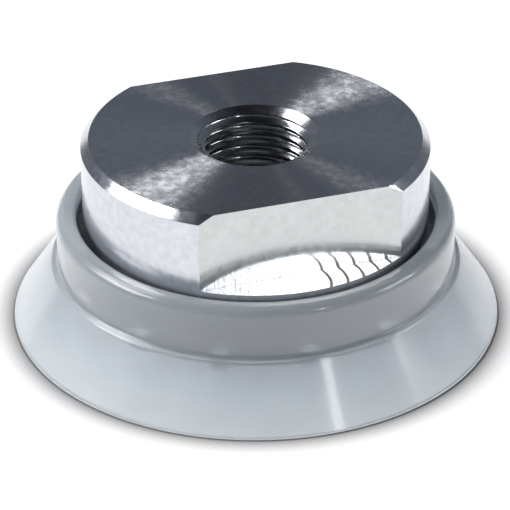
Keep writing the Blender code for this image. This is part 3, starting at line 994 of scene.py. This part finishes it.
def add_wire(bm, sizes, index, across, reach, height):
    """One wire of the weave: a thin tube that passes over and under its crossing wires."""
    offset = index * sizes.wire_pitch
    half = math.sqrt(max(reach**2 - offset**2, 0.0))
    steps = max(4, int(4.0 * half / sizes.wire_pitch))
    ring = bmesh.ops.create_circle(bm, cap_ends=False, radius=sizes.wire_radius, segments=6)
    verts = ring["verts"]
    bmesh.ops.transform(bm, matrix=Matrix.Rotation(math.pi / 2.0, 4, "Y"), verts=verts)
    edges = list({edge for vert in verts for edge in vert.link_edges})
    sign = -1.0 if across else 1.0
    turn = Matrix.Rotation(math.pi / 2.0, 4, "Z") if across else Matrix.Identity(4)
    previous = Vector(CENTRE)
    for step in range(steps + 1):
        along = half * (2.0 * step / steps - 1.0)
        phase = math.pi * (along / sizes.wire_pitch + index)
        lift = sign * 1.02 * sizes.wire_radius * math.cos(phase)
        place = Vector((along, offset, height + lift))
        if step:
            made = bmesh.ops.extrude_edge_only(bm, edges=edges)["geom"]
            verts = [item for item in made if isinstance(item, bmesh.types.BMVert)]
            edges = [
                item for item in made
                if isinstance(item, bmesh.types.BMEdge)
                and all(vert in verts for vert in item.verts)
            ]
        bmesh.ops.translate(bm, vec=place - previous, verts=verts)
        previous = place
    whole = set(verts)
    reached = list(verts)
    while reached:
        vert = reached.pop()
        for edge in vert.link_edges:
            other = edge.other_vert(vert)
            if other not in whole:
                whole.add(other)
                reached.append(other)
    bmesh.ops.transform(bm, matrix=turn, verts=list(whole))
    ends = [edge for vert in whole for edge in vert.link_edges if edge.is_boundary]
    bmesh.ops.holes_fill(bm, edges=list(set(ends)), sides=8)


class SUCTIONCUP_OT_filter_ring(bpy.types.Operator):
    """Bend the split ring that holds the strainer"""

    bl_idname = "suctioncup.filter_ring"
    bl_label = "Filter ring"

    def execute(self, context):
        sizes = context.scene.clamp_sizes
        radius = SCREEN_HIGH.x
        split = 2.0 * math.asin(0.5 * sizes.ring_gap / radius)
        section = rounded(
            [
                (radius - sizes.ring_width, RING_LOW.z, 0.15 * MM),
                (radius, RING_LOW.z, 0.15 * MM),
                (radius, RING_HIGH.z, 0.15 * MM),
                (radius - sizes.ring_width, RING_HIGH.z, 0.15 * MM),
            ]
        )
        piece = add_piece(
            "split_ring", swept(section, math.tau - split, 96, start=0.5 * split)
        )
        smooth(piece)
        steel = turned_metal("ring_steel", context.scene.finishes.steel, 0.25, 0.3)
        finish_piece(piece, steel, "fitting", "filter_steel", "filter_ring")
        return {"FINISHED"}


# ---------------------------------------------------------------- stage


def toward(azimuth, elevation):
    """A unit vector at an azimuth from the front, -Y, and an elevation."""
    return Vector(
        (
            math.sin(azimuth) * math.cos(elevation),
            -math.cos(azimuth) * math.cos(elevation),
            math.sin(elevation),
        )
    )


def add_softbox(name, azimuth, elevation, width, height, brightness, distance):
    """A flat lamp that faces the cup. Its width and height are angles seen from the cup."""
    light = bpy.data.lights.new(name, "AREA")
    light.shape = "RECTANGLE"
    light.size = 2.0 * distance * math.tan(0.5 * math.radians(width))
    light.size_y = 2.0 * distance * math.tan(0.5 * math.radians(height))
    light.energy = brightness * math.pi * light.size * light.size_y
    lamp = bpy.data.objects.new(name, light)
    direction = toward(azimuth, math.radians(elevation))
    lamp.location = direction * distance
    lamp.rotation_euler = direction.to_track_quat("Z", "Y").to_euler()
    bpy.context.scene.collection.objects.link(lamp)


def paint_room(tree, colours):
    """A dim room that is darkest overhead, with a pale backdrop behind the floor's edge."""
    nodes, links = tree.nodes, tree.links
    split = nodes.new("ShaderNodeSeparateXYZ")
    links.new(nodes.new("ShaderNodeTexCoord").outputs["Generated"], split.inputs[0])
    height = spread(nodes, links, split.outputs["Z"], 0.0, 1.0, 0.45, 0.95)
    room = mix_colours(nodes, links, height, colours.room_low, colours.room_high)
    seen = nodes.new("ShaderNodeLightPath").outputs["Is Camera Ray"]
    backdrop = mix_colours(nodes, links, seen, room, colours.backdrop)
    links.new(backdrop, nodes["Background"].inputs["Color"])


class SUCTIONCUP_OT_stage(bpy.types.Operator):
    """Set the floor, the soft studio light and the camera"""

    bl_idname = "suctioncup.stage"
    bl_label = "Stage"

    def execute(self, context):
        scene = context.scene
        sizes = scene.stage_sizes
        colours = scene.finishes
        bm = bmesh.new()
        bmesh.ops.create_grid(bm, x_segments=1, y_segments=1, size=0.5 * sizes.floor_size)
        floor = add_piece("floor", bm)
        floor.data.materials.append(
            light_table("floor", colours.floor, colours.floor_glow, sizes.shade_reach)
        )

        world = bpy.data.worlds.new("room")
        world.use_nodes = True
        paint_room(world.node_tree, colours)
        scene.world = world
        scene.view_settings.view_transform = "Standard"

        for name, azimuth, elevation, width, height, brightness in SOFTBOXES:
            add_softbox(
                name, sizes.azimuth + math.radians(azimuth), elevation, width, height,
                brightness, sizes.light_distance,
            )

        camera = bpy.data.objects.new("camera", bpy.data.cameras.new("camera"))
        camera.data.lens = sizes.lens
        back = toward(sizes.azimuth, sizes.elevation)
        right = Vector(AXIS).cross(back).normalized()
        up = back.cross(right)
        roll_cos, roll_sin = math.cos(sizes.roll), math.sin(sizes.roll)
        right, up = right * roll_cos + up * roll_sin, up * roll_cos - right * roll_sin
        place = back * sizes.distance
        aim = Vector((0.0, 0.0, sizes.aim_height)) - right * sizes.aim_left
        back = (place - aim).normalized()
        right = up.cross(back).normalized()
        up = back.cross(right)
        matrix = Matrix((right, up, back)).transposed().to_4x4()
        matrix.translation = place
        camera.matrix_world = matrix
        scene.collection.objects.link(camera)
        scene.camera = camera
        return {"FINISHED"}


class SUCTIONCUP_PT_panel(bpy.types.Panel):
    """The list of pieces and their sizes"""

    bl_idname = "SUCTIONCUP_PT_panel"
    bl_label = "Suction Cup"
    bl_space_type = "VIEW_3D"
    bl_region_type = "UI"
    bl_category = "Suction Cup"

    def draw(self, context):
        for operator in BUILD_ORDER:
            self.layout.operator(operator.bl_idname)
        for group in GROUPS:
            box = self.layout.box()
            settings = getattr(context.scene, group)
            for key in settings.__annotations__:
                box.prop(settings, key)


GROUPS = {
    "cup_sizes": CupSizes,
    "fitting_sizes": FittingSizes,
    "clamp_sizes": ClampSizes,
    "finishes": Finishes,
    "stage_sizes": StageSizes,
}
BUILD_ORDER = (
    SUCTIONCUP_OT_fitting,
    SUCTIONCUP_OT_cup,
    SUCTIONCUP_OT_clamp_plate,
    SUCTIONCUP_OT_screws,
    SUCTIONCUP_OT_strainer,
    SUCTIONCUP_OT_filter_ring,
    SUCTIONCUP_OT_stage,
)
CLASSES = (*GROUPS.values(), *BUILD_ORDER, SUCTIONCUP_PT_panel)


def register():
    """Add the classes and their settings to Blender."""
    for item in CLASSES:
        bpy.utils.register_class(item)
    for name, group in GROUPS.items():
        setattr(bpy.types.Scene, name, PointerProperty(type=group))


def unregister():
    """Take the settings and the classes out again."""
    for name in GROUPS:
        delattr(bpy.types.Scene, name)
    for item in reversed(CLASSES):
        bpy.utils.unregister_class(item)


def main():
    """Build every piece and the stage."""
    register()
    for operator in BUILD_ORDER:
        group, name = operator.bl_idname.split(".")
        getattr(getattr(bpy.ops, group), name)()


if __name__ == "__main__":
    main()
